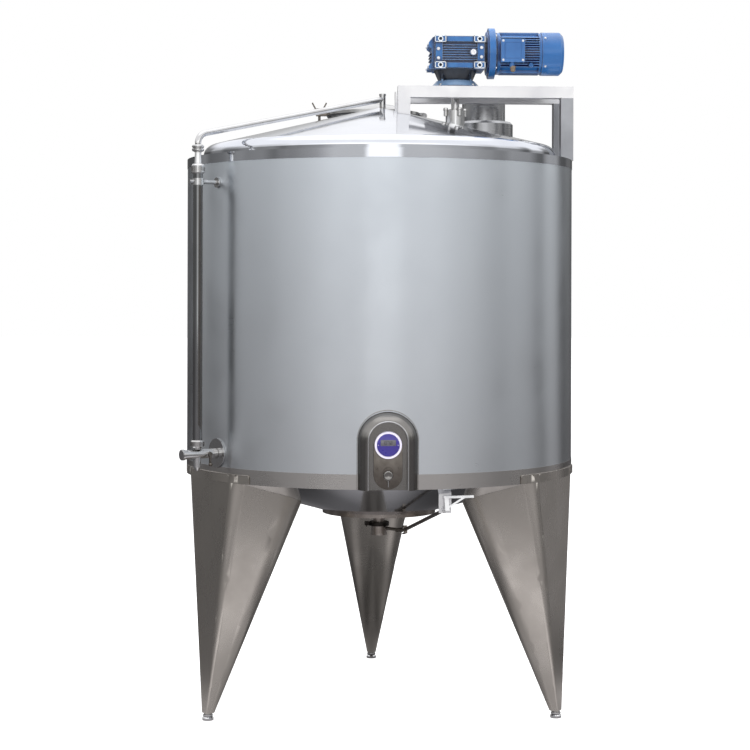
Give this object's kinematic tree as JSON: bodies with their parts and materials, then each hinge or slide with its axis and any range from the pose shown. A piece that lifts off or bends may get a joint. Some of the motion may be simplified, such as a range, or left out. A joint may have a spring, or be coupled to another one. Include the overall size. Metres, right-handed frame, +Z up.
{
  "type": "herb extraction tank",
  "caption": "Jacketed stainless steel extraction tank on cone legs, with a coned top and bottom, a top gear motor and agitator, a manway, a level gauge and a remote drain valve.",
  "frame": {"origin": "on the tank's axis at floor level, under the feet", "axes": "+Z up along the tank's axis, +X to the right towards the drive frame's posts, -Y to the front with the sensor hood"},
  "size_m": [1.7228, 1.78, 3.01],
  "materials": {
    "stainless_brushed": "satin brushed",
    "stainless_polished": "mirror polished",
    "stainless_leg": "fine brushed",
    "stainless_frame": "satin",
    "stainless_hood": "satin",
    "stainless_fittings": "turned and polished",
    "steel_dark": "dull",
    "paint_blue": "gloss enamel",
    "gauge_glass": "clear tube",
    "display_plastic": "gloss face with a pale rim"
  },
  "bodies": {
    "root": {"outer_jacket": "stainless_brushed", "top_band": "stainless_polished", "hem_band": "stainless_leg", "inner_vessel": "stainless_brushed", "vessel_bottom": "stainless_brushed", "top_head": "stainless_polished", "bottom_cone": "stainless_polished", "bottom_pan": "stainless_fittings", "leg_left": "stainless_leg", "leg_right": "stainless_leg", "leg_rear": "stainless_leg", "foot_left": "stainless_fittings", "foot_right": "stainless_fittings", "foot_rear": "stainless_fittings", "beam_front": "stainless_frame", "beam_rear": "stainless_frame", "post_front": "stainless_frame", "post_rear": "stainless_frame", "drive_plate": "stainless_frame", "gearbox": "paint_blue", "output_flange": "paint_blue", "motor_flange": "paint_blue", "motor_body": "paint_blue", "fan_cover": "paint_blue", "terminal_box": "paint_blue", "seal_housing": "stainless_fittings", "vent_port": "stainless_brushed", "manway_neck": "stainless_polished", "manway_hinge": "stainless_fittings", "gauge_tube": "gauge_glass", "gauge_unions": "stainless_fittings", "gauge_support": "stainless_fittings", "gauge_cock": "stainless_fittings", "vapour_pipe": "stainless_fittings", "top_nozzle": "stainless_fittings", "sensor_hood": "stainless_hood", "display": "display_plastic", "probe_plate": "stainless_hood", "outlet_valve": "stainless_fittings", "drain_bracket": "stainless_frame"},
    "agitator": {"agitator_shaft": "stainless_fittings", "impeller": "stainless_fittings"},
    "manway_cover": {"manway_lid": "stainless_polished", "lid_clamp": "stainless_fittings"},
    "gauge_lever": {"cock_lever": "stainless_fittings"},
    "valve_stem": {"valve_yoke": "steel_dark"},
    "remote_rod": {"drain_rod": "stainless_fittings"}
  },
  "joints": [
    {"name": "agitator_spin", "type": "hinge", "parent": "root", "child": "agitator", "pos_m": [0.34, 0, 2], "axis": [0, 0, 1], "continuous": true},
    {"name": "lid_swing", "type": "hinge", "parent": "root", "child": "manway_cover", "pos_m": [0.225, 0.4, 2.65], "axis": [0, 1, 0], "range_deg": [0, 100]},
    {"name": "gauge_lever_turn", "type": "hinge", "parent": "root", "child": "gauge_lever", "pos_m": [-0.74789, -0.52368, 1.14], "axis": [-0.5736, 0.8192, 0], "range_deg": [0, 90]},
    {"name": "rod_turn", "type": "hinge", "parent": "root", "child": "remote_rod", "pos_m": [0.243, -0.71, 0.925], "axis": [-0.2137, 0.9423, -0.2576], "range_deg": [0, 90]},
    {"name": "stem_turn", "type": "hinge", "parent": "root", "child": "valve_stem", "pos_m": [0.10607, -0.10607, 0.7599], "axis": [-0.7071, 0.7071, 0], "range_deg": [0, 90]}
  ],
  "couplings": [
    {"joint": "stem_turn", "follows": "rod_turn", "ratio": 1}
  ]
}
